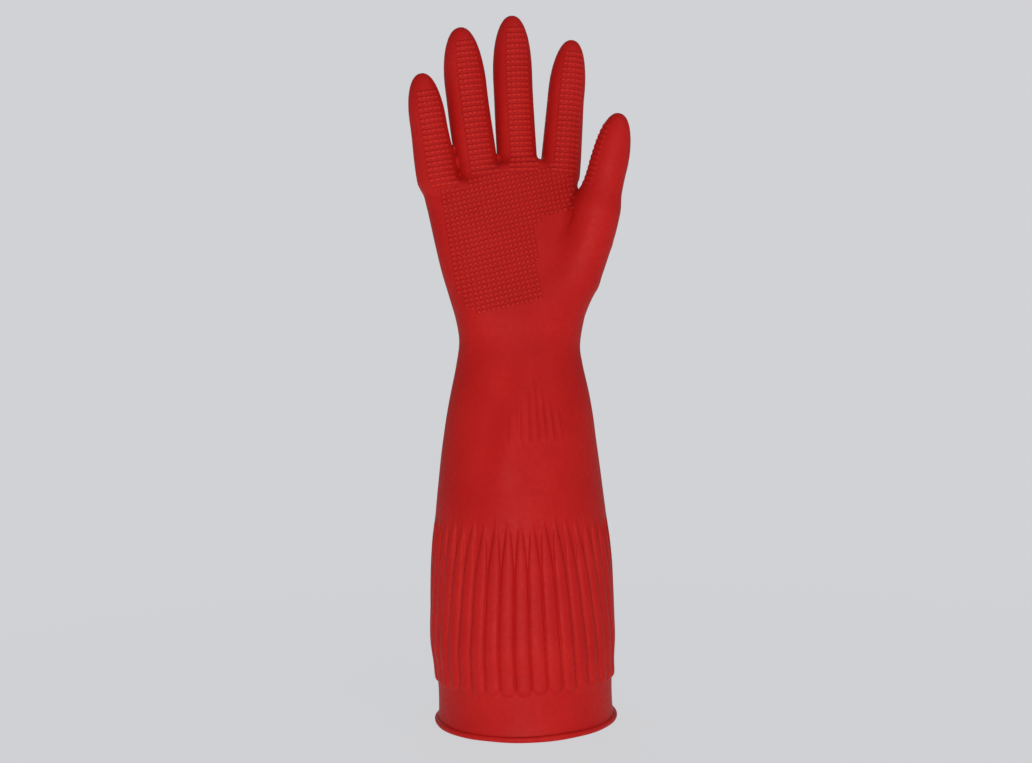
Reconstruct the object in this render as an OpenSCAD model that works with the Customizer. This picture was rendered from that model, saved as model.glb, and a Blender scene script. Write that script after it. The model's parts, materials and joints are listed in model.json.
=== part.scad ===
// Long-cuff rubber glove for the right hand, standing on its cuff with its fingers up.
// Millimetres. The origin is the centre of the cuff's mouth. +X is the thumb side,
// -Y is the palm side and +Z points to the fingertips.
// One dipped rubber skin is split into zones at the lines where it bends, and each
// zone carries its own stretch of the cotton flock lining.

/* [Rubber] */
// Thickness of the rubber wall
wall = 0.55; // [0.45:0.05:0.7]
// Thickness of the cotton flock lining
flock = 0.4; // [0.3:0.05:0.5]

/* [Cuff] */
// Outer radius of the plain hem band
hem_radius = 52; // [51:0.25:52.5]
// Height of the plain hem band
hem_height = 24; // [18:1:26]
// Thickness of the rolled bead on the rim
bead_thickness = 2.2; // [1.8:0.1:2.6]
// Height of the rolled bead on the rim
bead_height = 3.4; // [3:0.1:4.2]
// Height at which the fluted band ends
flute_top = 121; // [115:1:130]
// Number of flutes round the cuff
flute_count = 36; // [30:1:42]
// Height of a flute's ridge above its grooves
flute_depth = 1.3; // [0.6:0.1:1.6]
// Lean of the side flutes towards the palm at their tops
flute_lean = 16; // [0:1:18]

/* [Wrist] */
// Height of the line where the wrist bends
wrist_height = 230; // [226:1:232]
// Bend of the wrist to either side
wrist_bend = 60; // [40:1:62]

/* [Fingers] */
// Largest bend at the root of each finger
root_bend = 65; // [40:1:66]
// Largest bend back at the root of each finger
root_back = 15; // [5:1:18]
// Largest bend at the middle joint of each finger
middle_bend = 70; // [40:1:72]
// Largest bend at the tip joint of each finger
tip_bend = 45; // [30:1:48]
// Largest bend at the root of the thumb
thumb_root_bend = 35; // [20:1:40]
// Largest bend at the thumb's tip joint
thumb_tip_bend = 50; // [30:1:55]

/* [Hidden] */

RUBBER = [0.69, 0.13, 0.13];
BEAD_RED = [0.62, 0.11, 0.11];
FOLD_RED = [0.60, 0.10, 0.10];
FLOCK_WHITE = [0.88, 0.84, 0.80];

seam = 0.05;            // gap between neighbouring solids
fold_gap = 2;           // half the height of a fold at its hinge axis
fold_spare = 1;         // extra half angle of a fold, in degrees
ring_sides = 28;        // sides of a finger's fold
oval_sides = 48;        // sides of the sleeve's and the palm's sections
mass_fn = 28;           // fragments of the rounds that the hand is blended from
sleeve_bottom = hem_height + seam;
lining_inset = wall + seam;
lining_margin = 0.4;    // how far a lining stays back from a fold
root_slab = 2;          // thickness of the slab that a finger stands on

// Sections of the glove up to the knuckles:
// [height, half width, half depth, centre x, squareness of the oval (2 is an ellipse)]
PROFILE = [
    [20, 52, 52, 0, 2],
    [hem_height, hem_radius, hem_radius, 0, 2],
    [28, 53.6, 53.4, 0, 2],
    [47, 55, 54.2, -0.6, 2],
    [71, 54.4, 52.4, -0.4, 2],
    [95, 53.4, 50, -0.2, 2],
    [121, 51.2, 46.6, 0, 2],
    [143, 49, 43, 0.2, 2],
    [167, 46.2, 38.4, 0.6, 2],
    [191, 42.6, 33, 1.4, 2.05],
    [212, 38.2, 27.6, 1.7, 2.1],
    [226, 36.4, 25, 1.8, 2.15],
    [240, 38.1, 24, 1.8, 2.2],
    [252, 40.4, 22, 1, 2.25],
    [265, 42.5, 20, -0.5, 2.35],
    [280, 44.1, 18.4, -2.1, 2.5],
    [300, 46.5, 16.4, -4.4, 2.6]
];

// Places of the values in a finger's row
BASE = 0;       // centre of its root, on the web line
LEAN = 1;       // lean to +X, degrees
TILT = 2;       // lean towards the palm side, degrees
ROLL = 3;       // turn of its pad about its own axis, degrees
LENGTH = 4;     // from root to tip, along the finger
RADIUS = 5;
OGIVE = 6;      // length of the rounded tip
HINGES = 7;     // distances of its hinges from the root
CURL = 8;       // bend of each hinge at rest, degrees
BEND = 9;       // largest bend of each hinge towards the palm
BACK = 10;      // largest bend of each hinge the other way

bends = [root_bend, middle_bend, tip_bend];
backs = [root_back, 0, 0];
curls = [0, 5, 7];
little_less = [5, 10, 5];   // how much less the short little finger bends
thumb_back = 10;
LITTLE = [[-45.5, -2.5, 324.5], -9.2, 4, 0, 59.6, 10.9, 27,
    [10.5, 28.8, 45.4], curls, bends - little_less, backs];
RING = [[-21.3, -0.8, 330], -7.3, 3, 0, 81.6, 12.2, 32,
    [13.5, 36, 58], curls, bends, backs];
MIDDLE = [[3.6, 0, 332], -2.6, 3, 0, 86.9, 11.9, 33,
    [13.5, 36.8, 60.5], curls, bends, backs];
INDEX = [[30.2, -1.2, 332], 5, 3, 0, 73.9, 11.6, 31,
    [12.5, 34, 54], curls, bends, backs];
THUMB = [[46.8, -18, 302], 14.5, 12, -50, 57.8, 12.6, 32,
    [11.5, 33.5], [0, 6], [thumb_root_bend, thumb_tip_bend], [thumb_back, 0]];
FINGERS = [LITTLE, RING, MIDDLE, INDEX, THUMB];

// Spheres that the ball of the thumb is blended through, from the wrist: [centre, radius]
THUMB_BALL = [
    [[20.5, -4, 246], 17],
    [[34.9, -9, 264], 15],
    [[42.8, -15, 286], 13.6]
];
palm_heights = [222, 240, 252, 265, 280, 300];

// The row of PROFILE at a height, worked out between its neighbours
function profile_at(z) =
    let (
        last = len(PROFILE) - 2,
        below = max([for (i = [0 : last]) if (i == 0 || PROFILE[i][0] <= z) i]),
        low = PROFILE[below],
        high = PROFILE[below + 1],
        part = (z - low[0]) / (high[0] - low[0])
    )
    low + (high - low) * part;

function signed_pow(value, power) = sign(value) * pow(abs(value), power);

// A point of the oval section at a height, moved in by inset
function oval_point(z, angle, inset) =
    let (row = profile_at(z), power = 2 / row[4])
    [
        row[3] + (row[1] - inset) * signed_pow(cos(angle), power),
        (row[2] - inset) * signed_pow(sin(angle), power),
        z
    ];

function ring_angles(sides) = [for (i = [0 : sides - 1]) i * 360 / sides];

// Share of the full ridge height that the flutes have at a height
function flute_share(z) =
    z <= sleeve_bottom ? 0 :
    z < 28 ? (z - sleeve_bottom) / (28 - sleeve_bottom) :
    z < 92 ? 1 :
    max(0, (flute_top - z) / (flute_top - 92));

function flute_inset(z, angle) =
    -flute_depth / 2 * flute_share(z) * cos(flute_count * angle);

// Turn of the flute at an angle, which gathers the flutes towards the palm as they rise
function flute_turn(z, angle) =
    angle - flute_lean * cos(angle) * (z - sleeve_bottom) / (flute_top - sleeve_bottom);

function fluted_ring(z, inset) = [
    for (angle = ring_angles(4 * flute_count))
        oval_point(z, flute_turn(z, angle), inset + flute_inset(z, angle))
];

// Height at which the section's point at an angle meets the edge of the wrist's fold
function wrist_edge(angle, side, margin, inset, z = wrist_height, steps = 5) =
    steps == 0 ? z :
    let (depth = abs(oval_point(z, angle, inset)[1]))
    wrist_edge(angle, side, margin, inset,
        wrist_height + side * (fold_gap + margin + depth * tan(wrist_bend / 2 + fold_spare)),
        steps - 1);

// A ring of the sleeve, a share of the way from one level to the edge of the wrist's fold
function sleeve_ring(from, share, inset, margin) = [
    for (angle = ring_angles(oval_sides))
        oval_point(from + share * (wrist_edge(angle, -1, margin, inset) - from), angle, inset)
];

// A ring of the wrist's fold, a share of the way from its lower edge to its upper edge
function wrist_ring(share, inset) = [
    for (angle = ring_angles(oval_sides))
        let (
            low = wrist_edge(angle, -1, -seam, inset),
            high = wrist_edge(angle, 1, -seam, inset)
        )
        oval_point(low + share * (high - low), angle, inset)
];

// A tube that is open at both ends, from lists of outer and inner rings, bottom first
module ring_tube(outer, inner) {
    sides = len(outer[0]);
    levels = len(outer);
    count = sides * levels;
    outer_at = function (level, i) level * sides + i % sides;
    inner_at = function (level, i) count + level * sides + i % sides;
    walls = [
        for (level = [0 : levels - 2], i = [0 : sides - 1]) each [
            [outer_at(level, i), outer_at(level + 1, i), outer_at(level + 1, i + 1),
                outer_at(level, i + 1)],
            [inner_at(level, i), inner_at(level, i + 1), inner_at(level + 1, i + 1),
                inner_at(level + 1, i)]
        ]
    ];
    rims = [
        for (i = [0 : sides - 1]) each [
            [outer_at(0, i), outer_at(0, i + 1), inner_at(0, i + 1), inner_at(0, i)],
            [outer_at(levels - 1, i), inner_at(levels - 1, i), inner_at(levels - 1, i + 1),
                outer_at(levels - 1, i + 1)]
        ]
    ];
    polyhedron(points = [for (ring = concat(outer, inner)) each ring],
        faces = concat(walls, rims));
}

// Rolled bead outside the foot of the hem
module cuff_bead() {
    color(BEAD_RED)
        rotate_extrude($fn = 96)
            translate([hem_radius + seam + bead_thickness / 2, bead_height / 2])
                scale([bead_thickness / bead_height, 1])
                    circle(d = bead_height, $fn = 32);
}

// Plain band at the mouth of the cuff
module hem_band() {
    color(RUBBER)
        difference() {
            cylinder(h = hem_height, r = hem_radius, $fn = 96);
            translate([0, 0, -1])
                cylinder(h = hem_height + 2, r = hem_radius - wall, $fn = 96);
        }
}

// Corrugated band that lets the cuff spring open
module fluted_cuff() {
    levels = [sleeve_bottom, 28, 47, 71, 95, 108, flute_top];
    color(RUBBER)
        ring_tube([for (z = levels) fluted_ring(z, 0)],
            [for (z = levels) fluted_ring(z, wall)]);
}

// Smooth forearm part, up to the wrist
module gauntlet() {
    shares = [0, 0.2, 0.4, 0.6, 0.8, 1];
    color(RUBBER)
        ring_tube([for (s = shares) sleeve_ring(flute_top + seam, s, 0, 0)],
            [for (s = shares) sleeve_ring(flute_top + seam, s, wall, 0)]);
}

// Stretch of rubber that bends at the wrist
module wrist_fold() {
    shares = [0, 0.25, 0.5, 0.75, 1];
    color(FOLD_RED)
        ring_tube([for (s = shares) wrist_ring(s, 0)],
            [for (s = shares) wrist_ring(s, wall)]);
}

// Flock inside the fluted band and the forearm
module sleeve_lining() {
    shares = [0, 0.02, 0.12, 0.25, 0.4, 0.55, 0.7, 0.85, 1];
    outer = lining_inset + flute_depth / 2;
    color(FLOCK_WHITE)
        ring_tube([for (s = shares) sleeve_ring(sleeve_bottom + 0.5, s, outer, lining_margin)],
            [for (s = shares) sleeve_ring(sleeve_bottom + 0.5, s, outer + flock, lining_margin)]);
}

// Puts its children in the frame of a finger's segment: 0 is the root and base segment.
// Z is the distance from the root along the finger, and -Y is the side of its pad.
module on_finger(finger, segment) {
    translate(finger[BASE])
        rotate([finger[TILT], finger[LEAN], 0])
            rotate([0, 0, finger[ROLL]])
                on_hinge(finger, 1, segment) children();
}

module on_hinge(finger, hinge, segment) {
    if (hinge > segment)
        children();
    else
        translate([0, 0, finger[HINGES][hinge]])
            rotate([finger[CURL][hinge], 0, 0])
                translate([0, 0, -finger[HINGES][hinge]])
                    on_hinge(finger, hinge + 1, segment) children();
}

// Slopes of a fold's edges on the pad side and on the back
function pad_slope(finger, hinge) =
    tan((finger[BEND][hinge] + finger[CURL][hinge]) / 2 + fold_spare);
function back_slope(finger, hinge) = tan(finger[BACK][hinge] / 2 + fold_spare);

// How far the edge of a fold lies from its hinge, along the finger, at a depth y
function edge_rise(finger, hinge, y) =
    fold_gap + (y < 0 ? -y * pad_slope(finger, hinge) : y * back_slope(finger, hinge));

// Everything on one side of a fold's edge: side 1 is towards the tip, -1 towards the root
module beyond_edge(finger, hinge, side, margin) {
    reach = finger[RADIUS] + 2;
    far = 2.2 * finger[LENGTH];
    at = finger[HINGES][hinge];
    outline = [
        for (y = [-reach, 0, reach])
            [y, at + side * (margin + edge_rise(finger, hinge, y))]
    ];
    rotate([90, 0, 90])
        linear_extrude(2 * reach, center = true)
            polygon(concat(outline, [[reach, at - side * far], [-reach, at - side * far]]));
}

// Half of a finger's outline, rounded to a point at the tip
function finger_outline(finger, inset, bottom) =
    let (
        radius = finger[RADIUS] - inset,
        tip = finger[OGIVE] - inset,
        shoulder = finger[LENGTH] - finger[OGIVE]
    )
    concat([[radius, bottom]],
        [for (angle = [0 : 10 : 90])
            [radius * pow(cos(angle), 0.88), shoulder + tip * sin(angle)]]);

// Radius of a finger at a distance from its root
function finger_radius(finger, at) =
    let (past = (at - finger[LENGTH] + finger[OGIVE]) / finger[OGIVE])
    past <= 0 ? finger[RADIUS] : finger[RADIUS] * pow(cos(asin(past)), 0.88);

// The whole hollow finger as a thimble, between two insets
module finger_shell(finger, outer, inner) {
    foot = finger[HINGES][0] - 5;
    rotate_extrude($fn = 64)
        polygon(concat(finger_outline(finger, outer, foot),
            [for (i = [10 : -1 : 0]) finger_outline(finger, inner, foot)[i]]));
}

// One rigid segment of a finger: the shell between two folds
module finger_segment(finger, segment, outer, inner, margin) {
    last = segment == len(finger[HINGES]) - 1;
    on_finger(finger, segment)
        difference() {
            finger_shell(finger, outer, inner);
            beyond_edge(finger, segment, 1, margin);
            if (!last)
                beyond_edge(finger, segment + 1, -1, margin);
        }
}

// A ring of a finger's fold, on the side towards the root (-1) or the tip (1)
function fold_ring(finger, hinge, side, inset) =
    let (
        at = finger[HINGES][hinge],
        radius = finger_radius(finger, at + side * fold_gap) - inset,
        curl = side > 0 ? finger[CURL][hinge] : 0
    )
    [
        for (angle = ring_angles(ring_sides))
            let (
                y = radius * sin(angle),
                rise = side * (edge_rise(finger, hinge, y) - seam)
            )
            [radius * cos(angle), y * cos(curl) - rise * sin(curl),
                at + y * sin(curl) + rise * cos(curl)]
    ];

// The stretch of rubber that bends at one hinge of a finger
module finger_fold(finger, hinge) {
    sides = [-1, 1];
    color(FOLD_RED)
        on_finger(finger, max(0, hinge - 1))
            ring_tube([for (side = sides) fold_ring(finger, hinge, side, 0)],
                [for (side = sides) fold_ring(finger, hinge, side, wall)]);
}

module rubber_segment(finger, segment) {
    color(RUBBER) finger_segment(finger, segment, 0, wall, 0);
}

module lining_segment(finger, segment) {
    color(FLOCK_WHITE)
        finger_segment(finger, segment, lining_inset, lining_inset + flock, lining_margin);
}

// A thin slice of the palm at a height
module palm_slice(z, inset) {
    translate([0, 0, z])
        linear_extrude(0.02)
            polygon([
                for (angle = ring_angles(oval_sides))
                    let (p = oval_point(z, angle, inset)) [p[0], p[1]]
            ]);
}

// The slab that a finger stands on, at the web line
module finger_root(finger, inset) {
    on_finger(finger, 0)
        translate([0, 0, -root_slab - inset])
            cylinder(h = root_slab, r = finger[RADIUS] - inset, $fn = mass_fn);
}

// The solid form of the palm and the ball of the thumb, moved in by inset
module palm_mass(inset) {
    for (i = [0 : len(palm_heights) - 2])
        hull() {
            palm_slice(palm_heights[i], inset);
            palm_slice(palm_heights[i + 1], inset);
        }
    for (pair = [[LITTLE, RING], [RING, MIDDLE], [MIDDLE, INDEX]])
        hull() {
            palm_slice(300, inset);
            finger_root(pair[0], inset);
            finger_root(pair[1], inset);
        }
    for (i = [0 : len(THUMB_BALL) - 2])
        hull() {
            translate(THUMB_BALL[i][0]) sphere(r = THUMB_BALL[i][1] - inset, $fn = mass_fn);
            translate(THUMB_BALL[i + 1][0]) sphere(r = THUMB_BALL[i + 1][1] - inset, $fn = mass_fn);
        }
    hull() {
        translate(THUMB_BALL[2][0]) sphere(r = THUMB_BALL[2][1] - inset, $fn = mass_fn);
        finger_root(THUMB, inset);
    }
}

// The stub that a finger's root fold joins on to
module finger_stub(finger, inset, margin) {
    on_finger(finger, 0)
        difference() {
            translate([0, 0, -root_slab])
                cylinder(h = root_slab + finger[HINGES][0], r = finger[RADIUS] - inset,
                    $fn = ring_sides);
            beyond_edge(finger, 0, -1, margin);
        }
}

// The hollow inside a stub, right through its open end
module stub_hollow(finger, inset) {
    on_finger(finger, 0)
        translate([0, 0, -root_slab - inset - 1])
            cylinder(h = root_slab + inset + 2 + finger[HINGES][0], r = finger[RADIUS] - inset,
                $fn = ring_sides);
}

// The hollow hand between two insets, from the wrist's fold to the fingers' folds
module hand_between(outer, inner, margin) {
    reach = 60;
    rise = fold_gap + margin;
    steep = tan(wrist_bend / 2 + fold_spare);
    difference() {
        union() {
            palm_mass(outer);
            for (finger = FINGERS)
                finger_stub(finger, outer, margin);
        }
        palm_mass(inner);
        for (finger = FINGERS)
            stub_hollow(finger, inner);
        translate([0, 0, wrist_height])
            rotate([90, 0, 90])
                linear_extrude(4 * reach, center = true)
                    polygon([[-reach, rise + reach * steep], [0, rise], [reach, rise + reach * steep],
                        [reach, -reach], [-reach, -reach]]);
    }
}

module hand_shell() {
    color(RUBBER) hand_between(0, wall, 0);
}

module hand_lining() {
    color(FLOCK_WHITE) hand_between(lining_inset, lining_inset + flock, lining_margin);
}

cuff_bead();
hem_band();
fluted_cuff();
gauntlet();
wrist_fold();
hand_shell();
sleeve_lining();
hand_lining();
rubber_segment(LITTLE, 0);  // little_base
rubber_segment(LITTLE, 1);  // little_middle
rubber_segment(LITTLE, 2);  // little_tip
finger_fold(LITTLE, 0);  // little_root_fold
finger_fold(LITTLE, 1);  // little_middle_fold
finger_fold(LITTLE, 2);  // little_tip_fold
lining_segment(LITTLE, 0);  // little_base_lining
lining_segment(LITTLE, 1);  // little_middle_lining
lining_segment(LITTLE, 2);  // little_tip_lining
rubber_segment(RING, 0);  // ring_base
rubber_segment(RING, 1);  // ring_middle
rubber_segment(RING, 2);  // ring_tip
finger_fold(RING, 0);  // ring_root_fold
finger_fold(RING, 1);  // ring_middle_fold
finger_fold(RING, 2);  // ring_tip_fold
lining_segment(RING, 0);  // ring_base_lining
lining_segment(RING, 1);  // ring_middle_lining
lining_segment(RING, 2);  // ring_tip_lining
rubber_segment(MIDDLE, 0);  // middle_base
rubber_segment(MIDDLE, 1);  // middle_middle
rubber_segment(MIDDLE, 2);  // middle_tip
finger_fold(MIDDLE, 0);  // middle_root_fold
finger_fold(MIDDLE, 1);  // middle_middle_fold
finger_fold(MIDDLE, 2);  // middle_tip_fold
lining_segment(MIDDLE, 0);  // middle_base_lining
lining_segment(MIDDLE, 1);  // middle_middle_lining
lining_segment(MIDDLE, 2);  // middle_tip_lining
rubber_segment(INDEX, 0);  // index_base
rubber_segment(INDEX, 1);  // index_middle
rubber_segment(INDEX, 2);  // index_tip
finger_fold(INDEX, 0);  // index_root_fold
finger_fold(INDEX, 1);  // index_middle_fold
finger_fold(INDEX, 2);  // index_tip_fold
lining_segment(INDEX, 0);  // index_base_lining
lining_segment(INDEX, 1);  // index_middle_lining
lining_segment(INDEX, 2);  // index_tip_lining
rubber_segment(THUMB, 0);  // thumb_base
rubber_segment(THUMB, 1);  // thumb_tip
finger_fold(THUMB, 0);  // thumb_root_fold
finger_fold(THUMB, 1);  // thumb_tip_fold
lining_segment(THUMB, 0);  // thumb_base_lining
lining_segment(THUMB, 1);  // thumb_tip_lining
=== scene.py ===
import json
import math

import bmesh
import bpy
import numpy as np
from mathutils import Matrix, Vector
from mathutils.bvhtree import BVHTree


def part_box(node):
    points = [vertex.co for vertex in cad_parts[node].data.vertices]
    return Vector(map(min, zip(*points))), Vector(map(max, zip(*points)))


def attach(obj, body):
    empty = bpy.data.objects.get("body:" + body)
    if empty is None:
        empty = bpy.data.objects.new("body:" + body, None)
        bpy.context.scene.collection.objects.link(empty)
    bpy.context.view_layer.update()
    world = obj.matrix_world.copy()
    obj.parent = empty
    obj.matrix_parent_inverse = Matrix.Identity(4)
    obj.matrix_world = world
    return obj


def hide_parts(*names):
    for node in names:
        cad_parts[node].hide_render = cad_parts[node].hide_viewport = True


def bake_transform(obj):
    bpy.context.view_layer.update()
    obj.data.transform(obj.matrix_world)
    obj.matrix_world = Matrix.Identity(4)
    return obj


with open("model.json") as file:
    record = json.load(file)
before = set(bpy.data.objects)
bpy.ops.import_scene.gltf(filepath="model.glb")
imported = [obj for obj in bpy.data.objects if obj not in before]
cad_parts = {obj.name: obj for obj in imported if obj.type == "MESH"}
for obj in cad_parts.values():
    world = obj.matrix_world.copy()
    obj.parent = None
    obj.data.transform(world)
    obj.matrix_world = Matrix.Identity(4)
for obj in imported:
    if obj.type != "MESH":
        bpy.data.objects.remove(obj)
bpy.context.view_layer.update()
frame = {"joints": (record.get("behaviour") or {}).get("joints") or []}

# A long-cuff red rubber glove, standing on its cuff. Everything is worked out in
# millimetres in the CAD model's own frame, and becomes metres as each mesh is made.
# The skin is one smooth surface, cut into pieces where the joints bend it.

MM = 0.001
JOINTS = {joint["name"]: joint for joint in frame["joints"]}


def box_mm(node):
    low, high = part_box(node)
    return np.array(low) / MM, np.array(high) / MM


def hinge(name):
    """Where a joint turns, in mm, and its axis."""
    joint = JOINTS[name]
    return np.array(joint["pos_m"]) / MM, np.array(joint["axis"])


# ---------------- sizes, in mm

WALL = 0.55  # rubber
LINING = 0.95  # how far the flock's face lies under the rubber's
LINING_SLACK = 0.2  # it may come this much nearer in the webs
LEAST_COVER = 0.2  # least depth of the middle of its faces
SKIN_CELL = 1.6  # the hand's faces
FLOCK_CELL = 2.6  # its lining's faces
GRIP_CUTS = 3  # extra cuts under the grip pattern
GRIP_MARGIN = 1.1  # and this far beyond it

HEM_TOP = box_mm("hem_band")[1][2]
HEM_RADIUS = box_mm("hem_band")[1][0]
BEAD_RADIUS, _, BEAD_HEIGHT = box_mm("cuff_bead")[1]
FLUTE_TOP = box_mm("fluted_cuff")[1][2]
FLUTES = 36
WRIST = hinge("wrist")[0][2]
SEAM_Z = 208.0  # the sleeve's rings meet the hand's mesh here
WRIST_ZONE = 26.0  # the wrist bends over this much above and below its hinge

# Sections up the glove: height, half width, half depth, centre x, squareness
PROFILE = np.array([
    [0, 52, 52, 0, 2],
    [24, 52, 52, 0, 2],
    [47, 55, 54.2, -0.6, 2],
    [71, 54.6, 52.4, -0.4, 2],
    [95, 53.6, 50, -0.2, 2],
    [121, 51.4, 46.6, 0, 2],
    [143, 49.1, 43, 0.2, 2],
    [167, 46.2, 38.4, 0.6, 2],
    [191, 42.6, 33, 1.4, 2.05],
    [212, 38.2, 27.6, 1.7, 2.1],
    [227, 36.2, 25, 1.9, 2.15],
    [240, 38.0, 24, 1.8, 2.2],
    [252, 40.4, 22, 1.0, 2.25],
    [265, 42.5, 20, -0.5, 2.35],
    [280, 44.3, 18.4, -2.1, 2.5],
    [300, 46.3, 16.6, -4.1, 2.6],
    [320, 47.8, 14.8, -6.7, 2.6],
    [345, 48.6, 12.5, -8.0, 2.6],
])
# The line of the webs between the fingers: x and height
WEB_LINE = np.array([[-62, 322], [-46, 323.5], [-31, 321.5], [-9, 331], [8, 334.5],
    [19, 333.4], [33, 326], [46, 312]])
# The ball of the thumb, blended through these: x, y, z, radius
THUMB_BALL = np.array([[19, -3, 236, 17], [22.5, -5, 248, 17.2], [35, -9, 264, 15.6],
    [42.8, -15, 285, 14.2], [46.8, -18, 302, 13.4]])
# How far the parts of the hand blend into each other
WEB_BLEND = 7  # the palm's upper edge
CHAIN_BLEND = 0.6  # the stretches of the thumb's ball
BALL_BLEND = 11  # the palm and the thumb's ball
THUMB_BLEND = 5  # the hand and the thumb
FINGER_BLEND = 3.5  # the hand and the four fingers

FINGER_DEPTH = 0.94  # a finger's depth over its width
FINGER_GAP = 0.4  # least gap between neighbouring fingers
FINGER_SCALE = 0.97  # brings a distance close to a true one
TIP_POWER = 0.88  # 1 is an ellipse; less is a fuller tip
LEAN_REACH = 6.0  # how gradually a finger's middle line turns
# How far each finger goes on below its root
FOOT = {"little": 9, "ring": 14, "middle": 14, "index": 14, "thumb": 14}
FOOT_ROUNDING = 8
FOUR_BENDS = ("root", "middle", "tip")
THUMB_BENDS = ("root", "tip")


class Finger:
    """A finger in the frame of its first hinge: x along the hinge's axis, y out of its
    back and z along the finger."""

    def __init__(self, name, joints, flip, root, last, root_radius, tip_radius, ogive,
            last_curl, strip_turn, halves):
        points = [hinge(f"{name}_{joint}_bend")[0] for joint in joints]
        axis = hinge(f"{name}_{joints[0]}_bend")[1] * flip
        along = points[1] - points[0]
        self.name, self.joints = name, joints
        self.origin = points[0]
        self.x = axis / np.linalg.norm(axis)
        self.z = along / np.linalg.norm(along)
        self.y = np.cross(self.z, self.x)
        self.axes = np.stack([self.x, self.y, self.z])
        self.hinges = [self.local(point[None])[0] for point in points]
        self.root = -root  # height of the finger's root
        end = self.hinges[-1]
        before = self.hinges[-2]
        curl = math.atan2(before[1] - end[1], end[2] - before[2]) + math.radians(last_curl)
        self.tip = end[2] + last * math.cos(curl)
        slopes = [math.atan2(a[1] - b[1], b[2] - a[2])
            for a, b in zip(self.hinges, self.hinges[1:])] + [curl]
        turns = [math.tan(b) - math.tan(a) for a, b in zip(slopes, slopes[1:])]
        self.turns = list(zip([h[2] for h in self.hinges[1:]], turns))
        self.root_radius, self.tip_radius, self.ogive = root_radius, tip_radius, ogive
        self.strip_turn = math.radians(strip_turn)
        # The skin bends between these heights, one pair for each hinge
        self.zones = [(at[2] - half, at[2] + half) for at, half in zip(self.hinges, halves)]
        ends = [self.zones[0][0]] + [high for _, high in self.zones]
        starts = [self.zones[0][0]] + [low for low, _ in self.zones[1:]]
        # Its pieces part halfway between one bend and the next
        self.borders = [(a + b) / 2 for a, b in zip(ends, starts)]

    def local(self, points):
        return (points - self.origin) @ self.axes.T

    def world(self, local):
        return self.origin + np.asarray(local) @ self.axes

    def centre_y(self, z):
        """The finger's middle line leans towards its pad past each hinge."""
        lean = np.zeros_like(z)
        for at, turn in self.turns:
            past = z - at
            lean = lean - turn * (past + np.sqrt(past * past + LEAN_REACH ** 2)) / 2
        return lean

    def radius(self, z):
        """Half width of the shaft, before the tip's rounding."""
        share = (z - self.root) / (self.tip - self.ogive - self.root)
        return self.root_radius + (self.tip_radius - self.root_radius) * smooth(share)

    def distance(self, points):
        """Less than 0 inside the finger."""
        p = self.local(points)
        width = self.radius(p[:, 2])
        across = np.sqrt((p[:, 0] / width) ** 2
            + ((p[:, 1] - self.centre_y(p[:, 2])) / (width * FINGER_DEPTH)) ** 2)
        past = np.maximum(p[:, 2] - (self.tip - self.ogive), 0) / self.ogive
        rounded = (across ** (2 / TIP_POWER) + past ** 2) ** (TIP_POWER / 2)
        outside = (np.where(past > 0, rounded, across) - 1) * width * FINGER_SCALE
        return smooth_max(outside, self.root - FOOT[self.name] - p[:, 2], FOOT_ROUNDING)


def make_fingers():
    # Name, joints, axis sign, root below hinge, tip past last hinge, root and tip radius,
    # length of tip, last curl, turn of the grip strip, half length of each bend
    return [
        Finger("little", FOUR_BENDS, 1, 10.5, 14.2, 12.4, 10.7, 27, 7, 5, (9.3, 8.7, 6)),
        Finger("ring", FOUR_BENDS, 1, 13.5, 23.6, 12.8, 12.4, 32, 7, 5, (10, 10, 6.5)),
        Finger("middle", FOUR_BENDS, 1, 13.5, 26.4, 12.2, 11.9, 33, 7, 5, (10, 10, 6.5)),
        Finger("index", FOUR_BENDS, 1, 12.5, 19.9, 12.2, 11.2, 31, 7, 5, (10, 10, 6.5)),
        Finger("thumb", THUMB_BENDS, -1, 11.5, 24.3, 13.2, 11.6, 33, 6, -38, (8, 8)),
    ]


# ---------------- helper maths

WAVES = 7
WAVE_PITCH = (1.4, 3.2)  # over the features' size
WAVE_GAIN = 1.6  # brings them to about -1 to 1


def smooth(t):
    """Grows smoothly from 0 to 1."""
    t = np.clip(t, 0, 1)
    return t * t * (3 - 2 * t)


def smooth_min(a, b, reach):
    """The lesser of two values, rounded off where they are nearer than reach."""
    near = np.maximum(reach - np.abs(a - b), 0) / reach
    return np.minimum(a, b) - near * near * reach / 4


def smooth_max(a, b, reach):
    return -smooth_min(-a, -b, reach)


def curve_through(x, xs, ys):
    """A smooth curve through the points (xs, ys)."""
    slopes = np.gradient(ys, xs)
    i = np.clip(np.searchsorted(xs, x) - 1, 0, len(xs) - 2)
    width = xs[i + 1] - xs[i]
    t = np.clip((x - xs[i]) / width, 0, 1)
    return (ys[i] * (1 + 2 * t) * (1 - t) ** 2 + ys[i + 1] * t * t * (3 - 2 * t)
        + width * (slopes[i] * t * (1 - t) ** 2 - slopes[i + 1] * t * t * (1 - t)))


def waves(points, scale, seed):
    """Smooth, repeatable unevenness between -1 and 1, with features about scale mm across."""
    random = np.random.default_rng(seed)
    total = np.zeros(len(points))
    for _ in range(WAVES):
        direction = random.normal(size=3)
        direction /= np.linalg.norm(direction)
        pitch = scale * random.uniform(*WAVE_PITCH)
        phase = random.uniform(0, 2 * math.pi)
        total += np.sin(points @ direction * 2 * math.pi / pitch + phase)
    return total / WAVES * WAVE_GAIN


def unit(vectors):
    return vectors / np.maximum(np.linalg.norm(vectors, axis=1, keepdims=True), 1e-9)


# ---------------- the hand's surface

LEAST_SLOPE = 0.02
LONGEST_MOVE = 1.5
EVEN_SHARE = 0.6  # of the way to the neighbours' middle
TOP_SPARE = 6  # room round the hand in its grid
SIDE_SPARE = 8
BACK_SHARE = 0.75  # of the cuff's depth


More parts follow.
